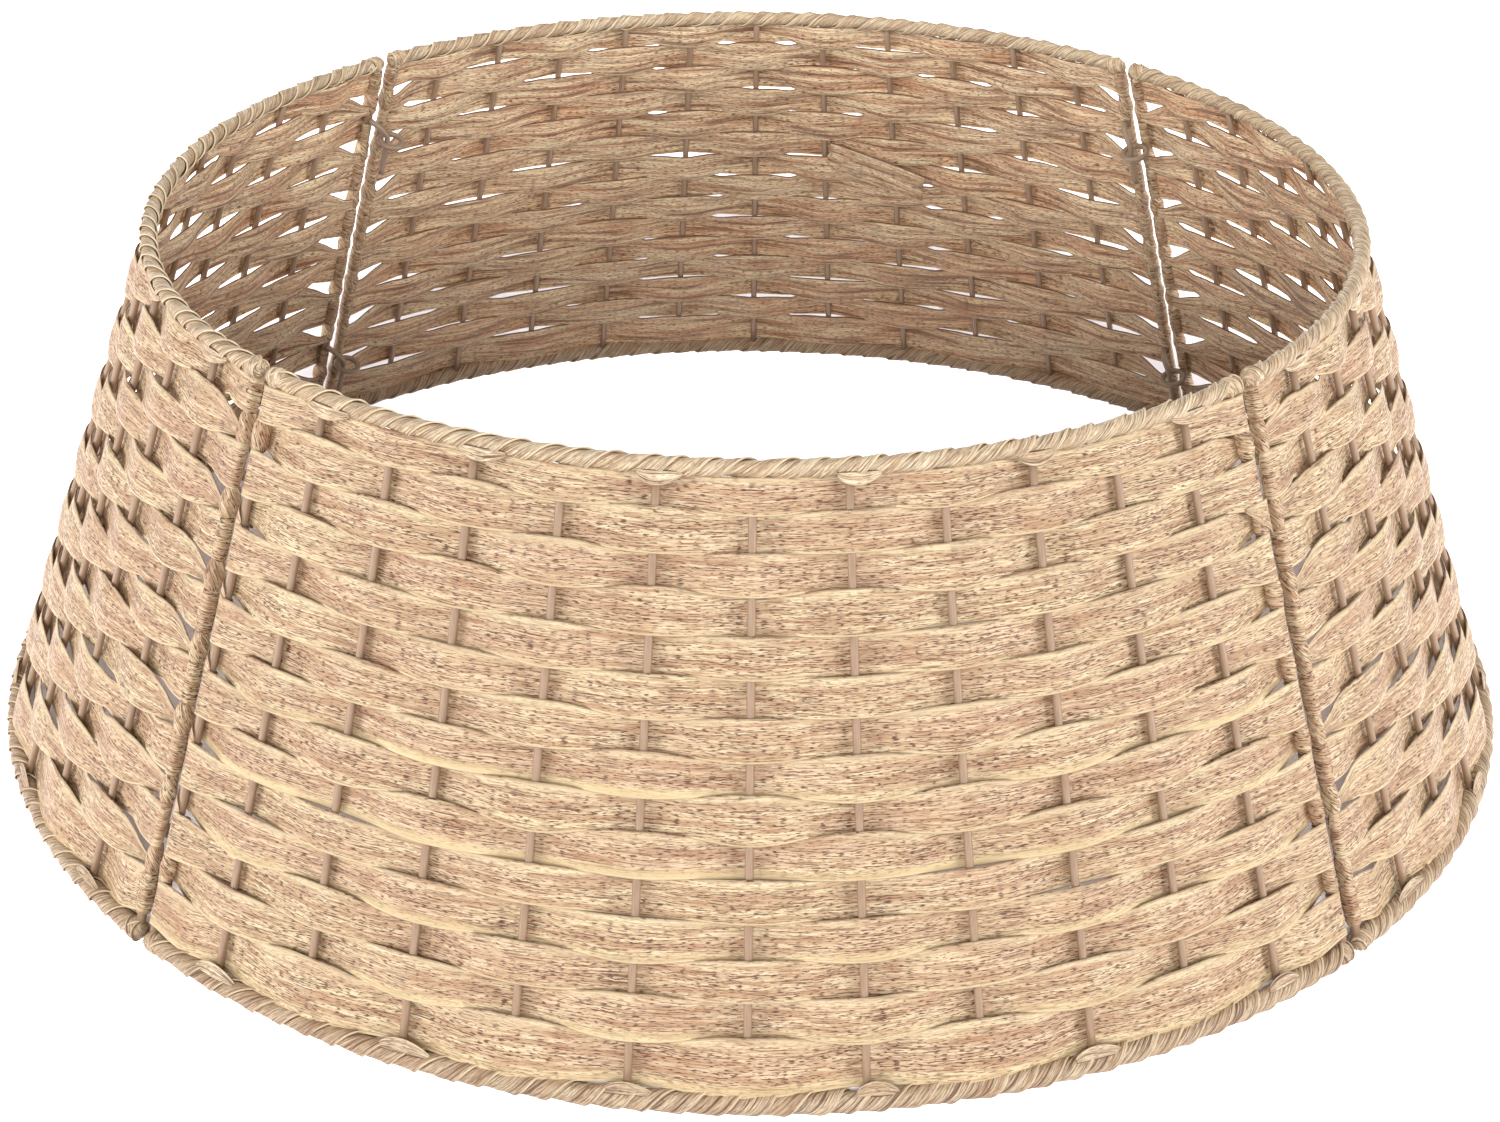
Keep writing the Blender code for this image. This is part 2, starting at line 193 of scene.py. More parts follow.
# How far the upper edge of even rows drops beside the stiles, which leaves gaps there.
NOTCHES = by_panel((0.0, 0.3), (0.9, 0.8), (0.5, 0.5), (0.9, 1.0))
NOTCH_SHARES = (0.25, 1.0)
NOTCH_RAMP = (0.42, 0.88)
NOTCH_DEPTH = 0.8

# How the strip turns round a stile: the first and last angle, and the steps between them.
ODD_TURN = (math.radians(80), math.radians(-175), 17)
BARREL_TURN = (math.radians(-80), math.radians(-20), 13)
FLAP_TURN = (math.radians(-80), math.radians(130), 13)
ODD_TUCK = 0.12
EYE_CLEAR_FROM = math.radians(-35)
END_TAPER = 0.94
BARREL_TAPER_POWER = 1.1
FLAP_TAPER_POWER = 2.2
END_DROP = 0.0012

# How the even rows end: with a folded flap, or twisted into a barrel round the stile.
# Each end has the slant of its barrels' grain from the stile in degrees, or None for flaps.
BARREL_SLANTS = by_panel((None, 74), (48, 52), (50, 50), (52, 42))
FOLDED_END_SLANTS = {2: 30, 14: 62}
BARREL_LAP = 0.0016
BARREL_RISE = 0.0004
BARREL_THICKNESSES = (0.0009, 0.0021)
BARREL_SLANT_POWER = 0.35
SPINDLE_SIDES = 28
SPINDLE_SHARES = np.linspace(0, 1, 19)
LOBE_HEIGHT = 0.07
MINOR_LOBE_HEIGHT = 0.03
MINOR_LOBE_TURN = 1.3

# Whether the odd rows' ends are wound crosswise into a sleeve round the stile, at each end.
SLEEVES = by_panel((False, False), (True, True), (True, True), (True, True))
SLEEVE_SLANT = math.radians(84)
SLEEVE_RISE = 0.0005
SLEEVE_SHORT = 0.0002

# Loose bits of strip, by panel and by the first row of the band that they belong to. Each has
# four corners, which are a row, an upright's place and an offset from the wall.
PATCHES = {
    ("back", 6): [
        ((6.80, -2.48, -0.0052), (8.00, -2.40, -0.0052), (5.75, -1.10, -0.0024), (6.95, -1.02, -0.0024)),
    ],
    ("front", 1): [
        ((3.55, 5.62, 0.0022), (3.62, 5.62, 0.0022), (3.50, 5.99, 0.0030), (4.42, 5.99, 0.0030)),
    ],
}
PATCH_STEPS = (9, 5)
YELLOW_SHARES = by_panel(1.0, 0.35, 0.35, 0.35)
MAP_LENGTH = 5.0
MAP_BAND = 0.7
SPAN_STEPS = 12
ACROSS_STEPS = 10


def srgb(red, green, blue):
    """A colour read as 0 to 255, as linear light."""
    def linear(value):
        share = value / 255
        return share / 12.92 if share <= 0.04045 else ((share + 0.055) / 1.055) ** 2.4
    return (linear(red), linear(green), linear(blue), 1)


# Colours of the strip's outer face, of its inner face and of the rims' winding, and how much
# of each shows. The inner face's colours are paler than the outer face's: painted light, which
# makes up for the weaker light that reaches inside the ring.
STRIP_YELLOW = srgb(223, 202, 155)
LOOK_COLOURS = {
    "pale": ((226, 207, 169), (255, 232, 195), (236, 220, 188)),
    "mid": ((219, 193, 160), (255, 216, 176), (230, 208, 173)),
    "streak": ((168, 126, 95), (184, 122, 84), (166, 128, 96)),
    # The dark of the print's dashes, used also for the painted shade in creases and along upper edges.
    "fleck_and_shade": ((88, 55, 39), (96, 60, 42), (90, 60, 44)),
    # The pale colour of the painted highlights: on ridges, over a strip's upper part and along its lower
    # edge.
    "lip": ((228, 206, 167), (255, 231, 190), (238, 218, 184)),
}
LOOK_AMOUNTS = {
    "bands": (0.70, 0.62, 0.5),
    "grain": (0.78, 0.5, 0.8),
    "folds": ((28, 620, 1), (20, 340, 1), (28, 620, 1)),
    # The next two are painted shade in the creases and painted highlight on their ridges.
    "crease_shade": (0.12, 0.65, 0.4),
    "ridge_highlight": (0.10, 1.0, 0.2),
    "lines": (0.84, 0.65, 0.9),
    "dashes": (0.95, 0.85, 0.5),
    # The next entry is a painted highlight along a strip's lower edge, and the one after a painted
    # shadow along its upper edge.
    "rim": (0.8, 0.8, 0.6),
    "shadow": (0.35, 0.9, 0.9),
    # A painted highlight over the upper part of a strip.
    "top": (0.65, 0.3, 0.3),
    "yellow": (1.0, 0.0, 0.0),
    "wave": (0.002, 0.003, 0.003),
    "creases": (0.5, 1.6, 2.0),
    "depth": (0.0002, 0.0006, 0.0005),
}


def look_of(column):
    colours = {key: srgb(*row[column]) for key, row in LOOK_COLOURS.items()}
    return {**colours, **{key: row[column] for key, row in LOOK_AMOUNTS.items()}}


OUTER_LOOK, BRIGHTENED_INNER_LOOK, RIM_LOOK = look_of(0), look_of(1), look_of(2)
# The bottom rim's winding in darker colours and with more crease shade: painted shade, for the less
# light that reaches the lower rim.
SHADED_BOTTOM_RIM_LOOK = {
    **RIM_LOOK,
    "pale": srgb(220, 202, 172),
    "mid": srgb(197, 173, 142),
    "streak": srgb(150, 114, 85),
    "lip": srgb(228, 206, 172),
    "crease_shade": 0.85,
}
WIRE_TAN = srgb(162, 134, 109)
WIRE_DARK = srgb(146, 119, 95)
HINGE_BROWN = srgb(164, 141, 119)
HINGE_DARK = srgb(134, 111, 92)

# Noises of the strip's print: the scale along and across, the offset, detail and roughness.
WAVE_NOISE = ((24, 60, 1), (0, 0, 0), 1, 0.5)
PRINT_NOISES = {
    "tone": ((7, 22, 1), (3, 7, 0), 2, 0.5),
    "bands": ((22, 330, 1), (0, 0, 0), 2, 0.55),
    "grain": ((100, 1150, 1), (5, 1, 0), 3, 0.6),
    "lines": ((58, 1450, 1), (4, 6, 0), 2, 0.6),
    "dashes": ((320, 2000, 1), (1, 9, 0), 1, 0.5),
    "crowd": ((34, 210, 1), (8, 2, 0), 2, 0.5),
}
CROWDING = 0.25

# Layers of the print and of painted light: what shows each, the two values between which it
# comes up, and the look's entries for how much of it shows and in which colour. The folds
# layers are painted shade in the creases and a painted highlight on the ridges between them,
# and the edge layers a painted shadow along a strip's upper edge and a painted highlight along
# its lower edge.
PRINT_LAYERS = (
    ("bands", 0.40, 0.66, "bands", "streak"),
    ("grain", 0.42, 0.62, "grain", "streak"),
    # Painted shade in the creases, then painted highlight on the ridges.
    ("folds", 0.47, 0.33, "crease_shade", "fleck_and_shade"),
    ("folds", 0.52, 0.64, "ridge_highlight", "lip"),
    ("lines", 0.54, 0.68, "lines", "fleck_and_shade"),
    ("spots", 0.66, 0.76, "dashes", "fleck_and_shade"),
)
# Painted shadow along a strip's upper edge, where the strip above lies over it, and painted highlight
# along its lower edge.
EDGE_LAYERS = (
    ("share", 0.035, 0.005, "shadow", "fleck_and_shade"),
    ("share", 0.955, 0.985, "rim", "lip"),
)
TONE_RAMP = (0.38, 0.62)
YELLOW_RAMP = (0.68, 0.98)
YELLOW_TONE_RAMP = (0.34, 0.60, 0.25, 1.0)
TOP_HIGHLIGHT_RAMP = (0.30, 0.02)
CROWD_RAMP = (0.35, 0.60)
STRIP_ROUGHNESS_RAMP = (0.2, 0.8, 0.46, 0.62)
STRIP_SPECULAR = 0.32
STRIP_BUMP = 0.7
WIRE_NOISE = ((90, 600, 1), (0, 0, 0), 3, 0.6)
WIRE_RAMP = (0.3, 0.75)
WIRE_ROUGHNESS_RAMP = (0.3, 0.7, 0.38, 0.52)
WIRE_BUMP = 0.25
WIRE_BUMP_DEPTH = 0.0001


# Vectors of the wall. Azimuths may be arrays, and each gives one vector.

UP = np.array((0.0, 0.0, 1.0))


def outward(azimuth):
    azimuth = np.asarray(azimuth, float)
    return np.stack([np.sin(azimuth), -np.cos(azimuth), np.zeros_like(azimuth)], -1)


def sideways(azimuth):
    azimuth = np.asarray(azimuth, float)
    return np.stack([np.cos(azimuth), np.sin(azimuth), np.zeros_like(azimuth)], -1)


def wall_normal(azimuth):
    return outward(azimuth) * math.cos(LEAN) + UP * math.sin(LEAN)


def down_slope(azimuth):
    return outward(azimuth) * math.sin(LEAN) - UP * math.cos(LEAN)


def wall_radius(along):
    return TOP_RADIUS + np.asarray(along, float) * math.sin(LEAN)


def wall_point(along, azimuth, lift=0.0):
    """The point this far down the slope from the top rail, lifted outwards off the wall."""
    along, azimuth, lift = np.broadcast_arrays(along, azimuth, np.asarray(lift, float))
    height = TOP_RAIL_HEIGHT - along * math.cos(LEAN)
    level = outward(azimuth) * wall_radius(along)[..., None]
    return level + UP * height[..., None] + wall_normal(azimuth) * lift[..., None]


def seam_point(along, aside, end=1, lift=0.0):
    """The same at a panel's end, this far aside of the corner between two panels."""
    along, aside, lift = np.broadcast_arrays(along, aside, np.asarray(lift, float))
    corner = end * HALF_PANEL
    reach = np.sqrt(wall_radius(along) ** 2 - aside**2)
    height = TOP_RAIL_HEIGHT - along * math.cos(LEAN)
    level = outward(corner) * reach[..., None] + sideways(corner) * aside[..., None]
    return level + UP * height[..., None] + wall_normal(corner) * lift[..., None]


def stile_point(along, end, lift=0.0):
    return seam_point(along, -end * SEAM_TO_STILE, end, lift)


def stile_azimuth(along):
    return HALF_PANEL - np.arcsin(SEAM_TO_STILE / wall_radius(along))


def place_azimuth(place, along):
    """Azimuth of a place on a row: whole numbers are uprights, and the last ones the stiles."""
    inner = STILE_PLACE - 1
    size = np.abs(place)
    beyond = np.clip(size - inner, 0, 1)
    straight = np.minimum(size, inner) * UPRIGHT_PITCH
    reach = stile_azimuth(along) - inner * UPRIGHT_PITCH
    return np.sign(place) * (straight + beyond * reach)


def row_along(row):
    return TOP_RAIL_TO_FIRST_ROW + (row - 1) * ROW_PITCH


def smooth(low, high, value):
    share = np.clip((np.asarray(value, float) - low) / (high - low), 0, 1)
    return share * share * (3 - 2 * share)


def mix(first, second, share):
    return first * (1 - share) + second * share


def bulge(share, power):
    """Nothing at both ends and all in the middle, fuller the lower the power."""
    return np.sin(math.pi * share) ** power


def wander(rng, count, size, at):
    """A smooth random line through one random value for each whole number."""
    values = rng.uniform(-size, size, count + 1)
    at = np.clip(np.asarray(at, float), 0, count - 1e-6)
    whole = at.astype(int)
    return mix(values[whole], values[whole + 1], smooth(0, 1, at - whole))


# Meshes. A shape is a dict of points, faces with their corners' map places, and slots.


def unit(vectors):
    return vectors / np.maximum(np.linalg.norm(vectors, axis=-1, keepdims=True), 1e-12)


def side_quads(index, following):
    """Quads between neighbouring rings of points."""
    return np.stack([index[:-1], following[:-1], following[1:], index[1:]], -1).reshape(-1, 4)


def volume(points, quads):
    corners = points[quads]
    first = np.einsum("ij,ij->i", corners[:, 0], np.cross(corners[:, 1], corners[:, 2]))
    second = np.einsum("ij,ij->i", corners[:, 0], np.cross(corners[:, 2], corners[:, 3]))
    return (first + second).sum()


def facing_out(points, quads):
    return quads[:, ::-1] if volume(points, quads) < 0 else quads


def thin_body(grid, along, across, mark, thickness, lip, slots=(0, 1)):
    """A closed thin body over a grid of points.

    along and across are the map places of the grid's points in metres, and mark is a pair:
    the share of the width, and how yellow the edge is. lip is the thickness at both edges.
    """
    rows, columns = grid.shape[:2]
    run = np.gradient(grid, axis=0)
    width = np.gradient(grid, axis=1)
    normal = unit(np.cross(width, run))
    share = np.linspace(0, 1, columns)
    edge = np.exp(-np.minimum(share, 1 - share) * LIP_SHARPNESS)
    half = (thickness + (lip - thickness) * edge)[None, :, None] / 2
    outer = grid + normal * half
    inner = (grid - normal * half)[:, ::-1]
    side = unit(width)
    first = (grid - side * half)[:, :1]
    last = (grid + side * half)[:, -1:]
    ring = np.concatenate([first, outer, last, inner], axis=1)
    size = ring.shape[1]

    def around(values):
        return np.concatenate([values[:, :1], values, values[:, -1:], values[:, ::-1]], axis=1)

    maps = np.stack([around(along), around(across), around(mark[0]), around(mark[1])], -1)
    index = np.arange(rows * size).reshape(rows, size)
    quads = side_quads(index, np.roll(index, -1, axis=1))
    slot = np.full((rows - 1, size), slots[0])
    slot[:, columns + 2 :] = slots[1]
    slot = slot.reshape(-1)
    caps = []
    for end, turned in ((index[0], False), (index[-1], True)):
        body, back = end[1 : columns + 1], end[columns + 2 :][::-1]
        cap = np.stack([body[:-1], back[:-1], back[1:], body[1:]], -1)
        tips = [(end[0], back[0], body[0], body[0]), (end[columns + 1], body[-1], back[-1], back[-1])]
        cap = np.concatenate([cap, np.array(tips)])
        caps.append(cap[:, ::-1] if turned else cap)
    quads = np.concatenate([quads, *caps])
    slot = np.concatenate([slot, np.zeros(len(quads) - len(slot), int)])
    points = ring.reshape(-1, 3)
    quads = facing_out(points, quads)
    return {"points": points, "quads": quads, "maps": maps.reshape(-1, 4), "slots": slot}


def tube_body(centres, radii, sides):
    """A closed tube through the centres, with its ends rounded off by their own radii."""
    centres = np.asarray(centres, float)
    radii = np.broadcast_to(np.asarray(radii, float), (len(centres),))
    run = unit(np.gradient(centres, axis=0))
    side = np.cross(run[0], UP)
    if np.linalg.norm(side) < 1e-3:
        side = np.cross(run[0], (1.0, 0, 0))
    sides_list = []
    for way in run:
        side = side - way * (side @ way)
        side = side / np.linalg.norm(side)
        sides_list.append(side)
    first = np.array(sides_list)
    second = np.cross(run, first)
    angle = np.arange(sides) * 2 * math.pi / sides
    ring = centres[:, None] + radii[:, None, None] * (
        first[:, None] * np.cos(angle)[None, :, None] + second[:, None] * np.sin(angle)[None, :, None]
    )
    rows = len(centres)
    index = np.arange(rows * sides).reshape(rows, sides)
    following = np.roll(index, -1, axis=1)
    points = np.concatenate([ring.reshape(-1, 3), centres[:1], centres[-1:]])
    tip = np.full(sides, rows * sides)
    start = np.stack([index[0], tip, tip, following[0]], -1)
    stop = np.stack([index[-1], following[-1], tip + 1, tip + 1], -1)
    quads = np.concatenate([side_quads(index, following), start, stop])
    length = np.concatenate([[0], np.cumsum(np.linalg.norm(np.diff(centres, axis=0), axis=1))])
    maps = np.zeros((len(points), 4))
    maps[:-2, 0] = np.repeat(length, sides)
    maps[:-2, 1] = (radii[:, None] * angle[None, :]).reshape(-1)
    maps[-1, 0] = length[-1]
    quads = facing_out(points, quads)
    return {"points": points, "quads": quads, "maps": maps, "slots": np.zeros(len(quads), int)}


def make_piece(name, shapes, materials, turn=0.0):
    """One mesh object from several shapes, turned about Z."""
    points, loops, starts, maps, slots = [], [], [], [], []
    base = 0
    loop_base = 0
    for shape in shapes:
        quads = shape["quads"]
        doubled = np.zeros(quads.shape, bool)
        doubled[:, 0] = quads[:, 0] == quads[:, 3]
        doubled[:, 1:] = quads[:, 1:] == quads[:, :-1]
        keep = ~doubled
        count = keep.sum(axis=1)
        corners = quads[keep]
        points.append(shape["points"])
        loops.append(shape.get("weld", np.arange(len(shape["points"])))[corners] + base)
        starts.append(loop_base + np.concatenate([[0], np.cumsum(count)[:-1]]))
        maps.append(shape["maps"][corners])
        slots.append(shape["slots"])
        base += len(shape["points"])
        loop_base += len(corners)
    points = np.concatenate(points)
    rotation = np.array(Matrix.Rotation(turn, 3, "Z"))
    points = points @ rotation.T
    used, loops = np.unique(np.concatenate(loops), return_inverse=True)
    points = points[used]
    starts = np.concatenate(starts)
    maps = np.concatenate(maps)
    mesh = bpy.data.meshes.new(name)
    mesh.vertices.add(len(points))
    mesh.vertices.foreach_set("co", points.astype(np.float32).ravel())
    mesh.loops.add(len(loops))
    mesh.loops.foreach_set("vertex_index", loops.astype(np.int32))
    mesh.polygons.add(len(starts))
    mesh.polygons.foreach_set("loop_start", starts.astype(np.int32))
    mesh.polygons.foreach_set("material_index", np.concatenate(slots).astype(np.int32))
    for layer, values in (("strip", maps[:, :2]), ("mark", maps[:, 2:])):
        uv_map = mesh.uv_layers.new(name=layer)
        uv_map.uv.foreach_set("vector", values.astype(np.float32).ravel())
    mesh.update(calc_edges=True)
    mesh.validate()
    mesh.shade_smooth()
    for material in materials:
        mesh.materials.append(material)
    piece = bpy.data.objects.new(name, mesh)
    bpy.context.scene.collection.objects.link(piece)
    return piece


# Materials.


def new_tree(name):
    material = bpy.data.materials.new(name)
    material.use_nodes = True
    tree = material.node_tree
    tree.nodes.clear()
    output = tree.nodes.new("ShaderNodeOutputMaterial")
    shader = tree.nodes.new("ShaderNodeBsdfPrincipled")
    tree.links.new(shader.outputs[0], output.inputs[0])
    return material, tree, shader


def noise(tree, source, scale, offset, detail, roughness):
    place = tree.nodes.new("ShaderNodeMapping")
    place.inputs["Scale"].default_value = scale
    place.inputs["Location"].default_value = offset
    tree.links.new(source, place.inputs["Vector"])
    node = tree.nodes.new("ShaderNodeTexNoise")
    node.inputs["Scale"].default_value = 1
    node.inputs["Detail"].default_value = detail
    node.inputs["Roughness"].default_value = roughness
    tree.links.new(place.outputs["Vector"], node.inputs["Vector"])
    return node.outputs["Fac"]


def spread(tree, value, low, high, out_low=0.0, out_high=1.0):
    node = tree.nodes.new("ShaderNodeMapRange")
    node.interpolation_type = "SMOOTHSTEP"
    node.inputs["From Min"].default_value = low
    node.inputs["From Max"].default_value = high
    node.inputs["To Min"].default_value = out_low
    node.inputs["To Max"].default_value = out_high
    tree.links.new(value, node.inputs["Value"])
    return node.outputs["Result"]


def combine(tree, operation, first, second):
    node = tree.nodes.new("ShaderNodeMath")
    node.operation = operation
    for socket, value in zip(node.inputs, (first, second)):
        if isinstance(value, (int, float)):
            socket.default_value = value
        else:
            tree.links.new(value, socket)
    return node.outputs[0]


def times(tree, first, second):
    return combine(tree, "MULTIPLY", first, second)


def blended(tree, factor, first, second):
    node = tree.nodes.new("ShaderNodeMix")
    node.data_type = "RGBA"
    tree.links.new(factor, node.inputs[0])
    for socket, value in ((node.inputs[6], first), (node.inputs[7], second)):
        if isinstance(value, tuple):
            socket.default_value = value
        else:
            tree.links.new(value, socket)
    return node.outputs[2]


def map_of(tree, name):
    node = tree.nodes.new("ShaderNodeUVMap")
    node.uv_map = name
    return node.outputs["UV"]


def add_bump(tree, shader, height, strength, depth):
    bump = tree.nodes.new("ShaderNodeBump")
    bump.inputs["Strength"].default_value = strength
    bump.inputs["Distance"].default_value = depth
    tree.links.new(height, bump.inputs["Height"])
    tree.links.new(bump.outputs[0], shader.inputs["Normal"])


def strip_material(name, look):
    """Flat printed strip: grain runs along it, with soft bands and dense short dark dashes, and painted
    shade and highlights on its creases, its upper part and its edges.
    """
    material, tree, shader = new_tree(name)
    place = map_of(tree, "strip")
    mark = tree.nodes.new("ShaderNodeSeparateXYZ")
    tree.links.new(map_of(tree, "mark"), mark.inputs[0])
    share, edge_yellow = mark.outputs[0], mark.outputs[1]
    wave = noise(tree, place, *WAVE_NOISE)
    split = tree.nodes.new("ShaderNodeSeparateXYZ")
    tree.links.new(place, split.inputs[0])
    shifted = combine(tree, "ADD", split.outputs[1], times(tree, wave, look["wave"]))
    joined = tree.nodes.new("ShaderNodeCombineXYZ")
    tree.links.new(split.outputs[0], joined.inputs[0])
    tree.links.new(shifted, joined.inputs[1])
    wavy = joined.outputs[0]

    noises = {**PRINT_NOISES, "folds": (look["folds"], (2, 4, 0), 2, 0.5)}
    shown = {"share": share}
    for key, values in noises.items():
        shown[key] = noise(tree, place if key == "tone" else wavy, *values)
    tone = shown["tone"]
    shown["spots"] = combine(tree, "ADD", shown["dashes"], times(tree, shown["crowd"], CROWDING))

    def layered(colour, layers):
        for value, low, high, amount, shade in layers:
            factor = times(tree, spread(tree, shown[value], low, high), look[amount])
            colour = blended(tree, factor, colour, look[shade])
        return colour

    colour = blended(tree, spread(tree, tone, *TONE_RAMP), look["pale"], look["mid"])
    colour = layered(colour, PRINT_LAYERS)
    yellow = times(tree, spread(tree, share, *YELLOW_RAMP), edge_yellow)
    yellow = times(tree, yellow, spread(tree, tone, *YELLOW_TONE_RAMP))
    colour = blended(tree, times(tree, yellow, look["yellow"]), colour, STRIP_YELLOW)
    # Painted highlight: the upper part of each strip is paler, as if it faced up into the light, more so
    # where the crowd noise is high.
    top_highlight = times(tree, spread(tree, share, *TOP_HIGHLIGHT_RAMP), look["top"])
    top_highlight = times(tree, top_highlight, spread(tree, shown["crowd"], *CROWD_RAMP))
    colour = blended(tree, top_highlight, colour, look["lip"])
    # Painted shadow along each strip's upper edge, under the strip above, and painted highlight along
    # its lower edge.
    tree.links.new(layered(colour, EDGE_LAYERS), shader.inputs["Base Color"])
    tree.links.new(spread(tree, shown["grain"], *STRIP_ROUGHNESS_RAMP), shader.inputs["Roughness"])
    shader.inputs["Specular IOR Level"].default_value = STRIP_SPECULAR
    height = combine(tree, "ADD", shown["grain"], times(tree, shown["folds"], look["creases"]))
    add_bump(tree, shader, height, STRIP_BUMP, look["depth"])
    return material


def wire_material(name, light, dark):
    """Painted wire, faintly mottled and a little rough."""
    material, tree, shader = new_tree(name)
    mottle = noise(tree, map_of(tree, "strip"), *WIRE_NOISE)
    colour = blended(tree, spread(tree, mottle, *WIRE_RAMP), light, dark)
    tree.links.new(colour, shader.inputs["Base Color"])
    tree.links.new(spread(tree, mottle, *WIRE_ROUGHNESS_RAMP), shader.inputs["Roughness"])
    add_bump(tree, shader, mottle, WIRE_BUMP, WIRE_BUMP_DEPTH)
    return material


def seen_two_ways(tree, output_type, shade_type, settings):
    """Ends a tree in two shades: the second is what camera, reflections and clear parts see."""
    tree.nodes.clear()
    path = tree.nodes.new("ShaderNodeLightPath")
    seen = combine(tree, "MAXIMUM", path.outputs["Is Camera Ray"], path.outputs["Is Glossy Ray"])
    seen = combine(tree, "MAXIMUM", seen, path.outputs["Is Transmission Ray"])
    both = tree.nodes.new("ShaderNodeMixShader")
    tree.links.new(seen, both.inputs[0])
    for place, setting in enumerate(settings):
        shade = tree.nodes.new(shade_type)
        for name, value in setting.items():
            shade.inputs[name].default_value = value
        tree.links.new(shade.outputs[0], both.inputs[1 + place])
    output = tree.nodes.new(output_type)
    tree.links.new(both.outputs[0], output.inputs[0])


# The weave.


class Weave:
    """Where the rows of one panel lie: the lines between them, their slits and bulges."""

    def __init__(self, panel, seed):
        self.rng = np.random.default_rng(seed)
        self.panel = panel
        self.place = np.linspace(-STILE_PLACE, STILE_PLACE, 2 * STILE_PLACE * SPAN_STEPS + 1)
        count = 2 * STILE_PLACE
        at = self.place + STILE_PLACE
        low, high = SLITS[panel]
        self.lines = []
        self.slits = []
        for line in range(ROWS + 1):
            middle = row_along(line) + ROW_PITCH / 2
            self.lines.append(middle + wander(self.rng, count, EDGE_WANDER, at))
            middle_width = wander(self.rng, 2 * count, 1, 2 * at) * 0.5 + 0.5
            share = MIDDLE_SLITS[panel]
            share = share + (1 - share) * (np.abs(self.place) / STILE_PLACE) ** 2
            self.slits.append(low + (high - low) * middle_width**SLIT_POWER * share)
        self.lines[0] = np.full_like(at, row_along(1) - STRIP_WIDTH / 2)
        self.slits[0] = np.zeros_like(at)
        bottom = row_along(ROWS) + ROW_PITCH / 2 + LAST_EDGE_DROP
        self.lines[ROWS] = bottom + wander(self.rng, count, EDGE_WANDER, at)
        self.slits[ROWS] = np.zeros_like(at)
        depths = [self.rng.uniform(*LENS_BULGES[panel]) for _ in range(ROWS + 1)]
        self.bulges = [
            np.maximum(depths[edge // 2] + wander(self.rng, count, LENS_VARIATION, at), 0)
            for edge in range(2 * ROWS + 2)
        ]
        self.notches = [self.rng.uniform(*NOTCH_SHARES, 2) * NOTCHES[panel] for _ in range(ROWS + 1)]

    def edges(self, row):
        """The strip's upper and lower edges along the row."""
        crossing = np.abs(np.cos(math.pi * (row + self.place)))
        over = smooth(*OVER_RAMP, crossing)
        under = crossing**UNDER_POWER
        upper = self.lines[row - 1] + self.slits[row - 1] / 2 - self.bulges[2 * row - 1] * over
        lower = self.lines[row] - self.slits[row] / 2 + self.bulges[2 * row] * under
        if row == 1:
            upper = np.full_like(upper, FIRST_EDGE)
        if row == ROWS:
            swing = -np.cos(math.pi * (row + self.place))
            lower = self.lines[row] + LAST_EDGE_HANG * swing
        odd = row % 2 == 1
        half = ODD_END_HALF_WIDTH if odd else EVEN_END_HALF_WIDTHS[self.panel]
        start = ODD_NARROWS_FROM if odd else NARROWS_FROM[self.panel]
        inner = STILE_PLACE - 1
        beyond = np.abs(self.place) - inner
        weight = smooth(start, 1, beyond)
        centre = row_along(row)
        least = TOP_WINDING_DIAMETER / 2 - GAP
        upper = mix(upper, max(centre - half, least), weight)
        lower = mix(lower, centre + half, weight)
        if not odd:
            notch = np.where(self.place < 0, *self.notches[row]) * smooth(*NOTCH_RAMP, beyond)
            upper = upper + (lower - upper) * NOTCH_DEPTH * notch
        return upper, lower


def has_sleeve(panel, row, end):
    return row % 2 == 1 and row not in EYE_ROWS.values() and SLEEVES[panel][int(end > 0)]


def row_grid(weave, row):
    """Points of the row's middle surface, stile to stile, with their places down the slope.

    The third result is where the points lie across the strip's own width.
    """
    upper, lower = weave.edges(row)
    place = weave.place
    share = np.linspace(0, 1, ACROSS_STEPS)
    along = upper[:, None] + (lower - upper)[:, None] * share[None, :]
    swing = -np.cos(math.pi * (row + place))
    inner = STILE_PLACE - 1
    at_stile = smooth(inner + STILE_FROM, STILE_PLACE, np.abs(place))
    slack = UPRIGHT_LIFT + SLACKS[weave.panel]
    sunk = [0 if has_sleeve(weave.panel, row, end) else TURN_RADIUS for end in (-1, 1)]
    height = slack + (np.where(place < 0, *sunk) - slack) * at_stile
    arch = 1 - (2 * share - 1) ** 2
    crown = np.sign(swing) * swing**2 * CROWN * (1 - at_stile)
    rng = weave.rng
    at = place + STILE_PLACE
    ripple = np.stack([wander(rng, 4 * STILE_PLACE, RIPPLE, 2 * at) for _ in share], 1)
    surface = (swing * height)[:, None] + crown[:, None] * arch[None, :] + ripple
    azimuth = place_azimuth(place[:, None], along)
    own = (share[None, :] - 0.5) * STRIP_WIDTH
    near, far = STRAIGHT_MARGINS
    bent = smooth(inner + near, STILE_PLACE - far, np.abs(place))
    across = mix(own, along - row_along(row), STRAIGHT_GRAIN * (1 - bent)[:, None])
    return wall_point(along, azimuth, surface), along, across


def wrap_grid(upper, lower, end, angles, radius):
    """Points of a strip that turns round a stile. upper and lower follow the angles."""
    across = np.linspace(0, 1, ACROSS_STEPS)
    along = upper[:, None] + (lower - upper)[:, None] * across[None, :]
    way = (
        sideways(end * HALF_PANEL) * end * np.cos(angles)[:, None]
        + wall_normal(end * HALF_PANEL) * np.sin(angles)[:, None]
    )
    return stile_point(along, end) + way[:, None, :] * radius


